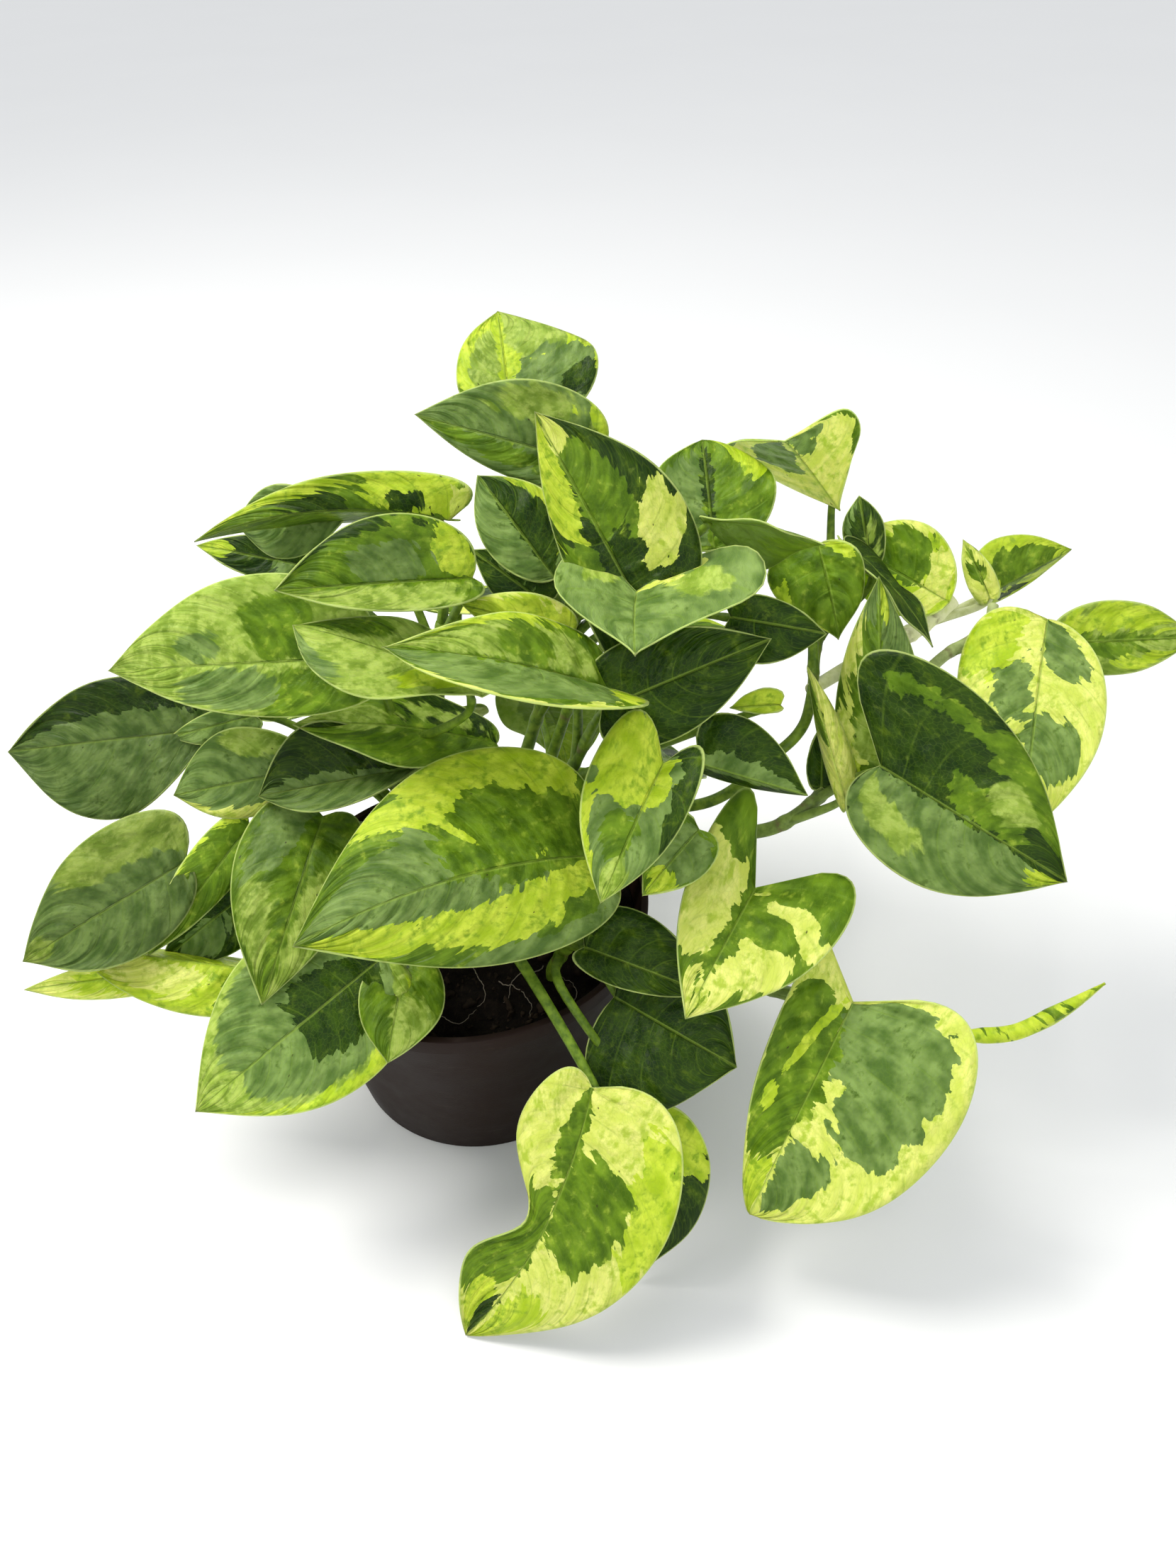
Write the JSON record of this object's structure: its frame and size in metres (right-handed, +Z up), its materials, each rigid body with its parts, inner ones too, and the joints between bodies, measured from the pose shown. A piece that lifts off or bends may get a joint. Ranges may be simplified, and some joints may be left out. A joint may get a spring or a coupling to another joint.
{
  "type": "potted lemon meringue pothos",
  "caption": "Bushy variegated trailing houseplant with heart-shaped green, lime and cream leaves, in a round dark plastic nursery pot of soil.",
  "frame": {"origin": "middle of the flat underside of the pot's base, on the surface that the pot stands on", "axes": "+Z up along the pot's axis, -Y towards the side that the picture looks at, +X to the picture's right"},
  "size_m": [0.4722, 0.2914, 0.2924],
  "materials": {
    "leaf": "waxy semi-gloss, green, grey-green, lime and cream in jagged patches, paler yellow-green underneath",
    "soil": "matte, damp and crumbly",
    "pot": "satin, very dark brown"
  },
  "bodies": {
    "root": {"pot": "pot", "soil": "soil", "vine_front_left": "leaf", "vine_over_rim": "leaf", "vine_low_right": "leaf", "vine_right": "leaf", "vine_upper_right": "leaf", "vine_crown": "leaf", "vine_middle": "leaf", "vine_upper_left": "leaf", "vine_left": "leaf", "vine_low_left": "leaf", "vine_back_left": "leaf", "vine_back_right": "leaf"}
  },
  "joints": []
}
